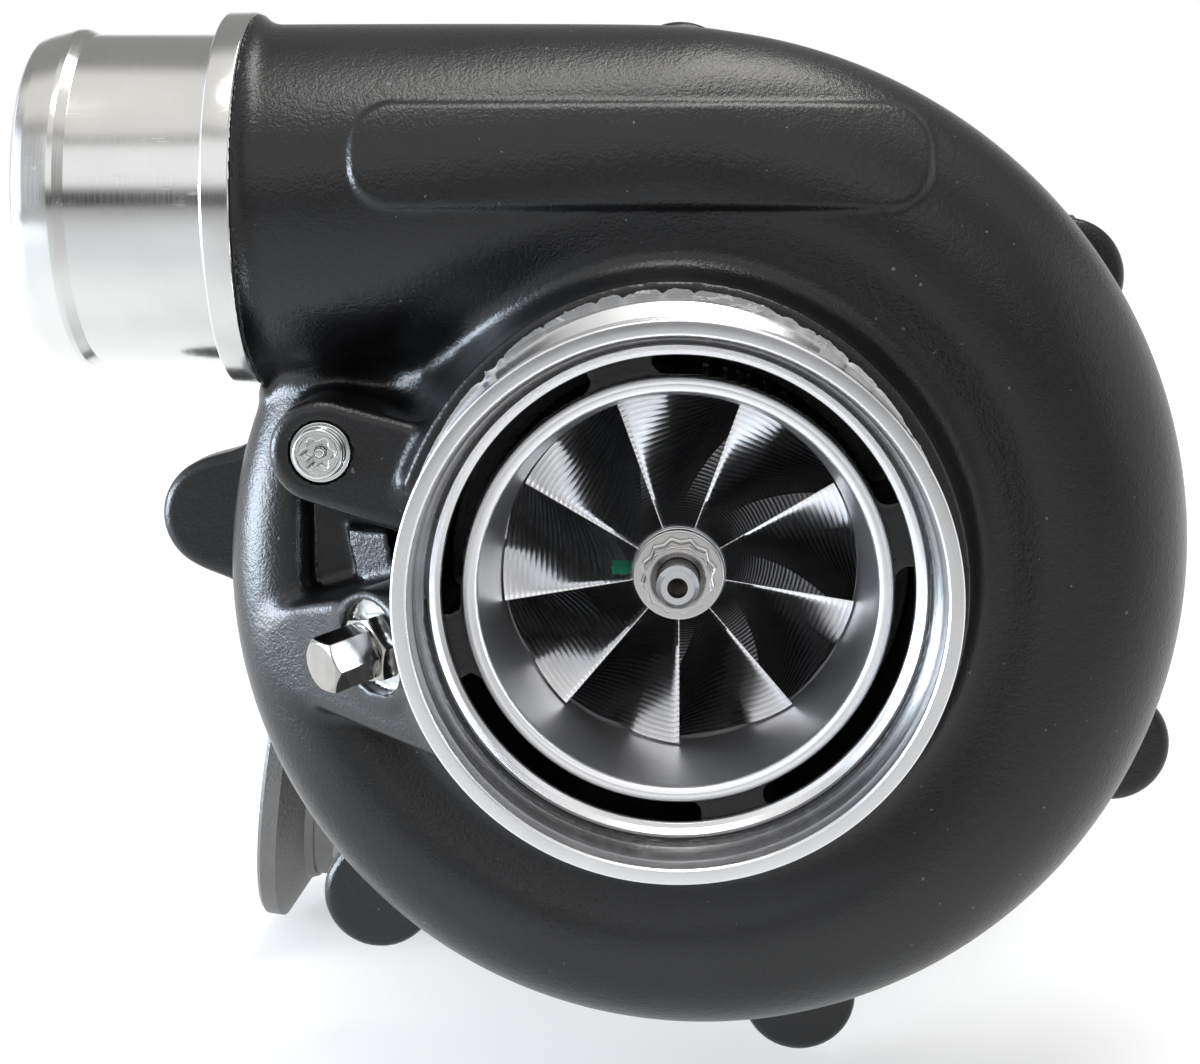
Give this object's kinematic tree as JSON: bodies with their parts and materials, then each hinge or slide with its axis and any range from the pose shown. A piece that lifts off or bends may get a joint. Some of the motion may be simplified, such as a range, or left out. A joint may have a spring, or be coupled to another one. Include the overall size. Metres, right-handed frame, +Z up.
{
  "type": "turbocharger",
  "caption": "Ball-bearing turbocharger with a black compressor housing, milled wheel, cast centre housing and V-band turbine housing.",
  "frame": {"origin": "on the shaft axis in the plane of the compressor inlet's front face", "axes": "-Y out of the compressor inlet along the shaft, +Y towards the turbine, +Z up towards the oil inlet, the compressor outlet leaves along -X"},
  "size_m": [0.2248, 0.226, 0.2196],
  "materials": {
    "casting_black": "satin black coating with a fine cast grain, machined faces left bright",
    "alu_wheel": "bright five-axis milled",
    "steel_bright": "turned bright",
    "steel_zinc": "zinc plated",
    "steel_dark": "black oxide",
    "alu_plate": "machined",
    "iron_core": "as cast, machined faces",
    "steel_turbine": "cast stainless steel, sandblasted",
    "ceramic": "polished silicon nitride",
    "rubber_ring": "matte",
    "copper_washer": "bright",
    "gasket_fibre": "matte",
    "turbine_wheel": "as cast nickel alloy, turned shaft"
  },
  "bodies": {
    "housing": {"compressor_housing": "casting_black", "speed_port_screw": "steel_zinc", "boost_port_adapter": "steel_bright", "boost_port_plug": "steel_bright", "compressor_backplate": "alu_plate", "backplate_o_ring": "rubber_ring", "compressor_clamp_plates": "steel_zinc", "compressor_clamp_screws": "steel_zinc", "backplate_screws": "steel_dark", "compressor_piston_ring": "steel_dark", "bearing_retainer": "steel_dark", "bearing_outer_sleeve": "steel_bright", "bearing_locating_pin": "steel_bright", "bearing_housing": "iron_core", "oil_inlet_fitting": "steel_zinc", "oil_inlet_washer": "copper_washer", "oil_drain_gasket": "gasket_fibre", "oil_drain_flange": "alu_plate", "oil_drain_screws": "steel_zinc", "coolant_plugs": "steel_zinc", "coolant_washers": "copper_washer", "heat_shield": "steel_turbine", "turbine_piston_ring": "steel_dark", "turbine_housing": "steel_turbine", "turbine_clamp_plates": "steel_dark", "turbine_clamp_screws": "steel_dark"},
    "rotor": {"turbine_wheel_shaft": "turbine_wheel", "compressor_wheel": "alu_wheel", "compressor_nut": "steel_bright", "thrust_spacer": "steel_bright", "inner_race_front": "steel_bright", "inner_race_rear": "steel_bright"},
    "front_ball_row": {"front_balls": "ceramic", "front_cage": "steel_bright"},
    "rear_ball_row": {"rear_balls": "ceramic", "rear_cage": "steel_bright"}
  },
  "joints": [
    {"name": "rotor_spin", "type": "hinge", "parent": "housing", "child": "rotor", "pos_m": [0, 0.115, 0], "axis": [0, -1, 0], "continuous": true},
    {"name": "front_ball_row_spin", "type": "hinge", "parent": "housing", "child": "front_ball_row", "pos_m": [0, 0.101, 0], "axis": [0, -1, 0], "continuous": true},
    {"name": "rear_ball_row_spin", "type": "hinge", "parent": "housing", "child": "rear_ball_row", "pos_m": [0, 0.129, 0], "axis": [0, -1, 0], "continuous": true}
  ],
  "couplings": [
    {"joint": "front_ball_row_spin", "follows": "rotor_spin", "ratio": 0.35663},
    {"joint": "rear_ball_row_spin", "follows": "rotor_spin", "ratio": 0.35663}
  ]
}
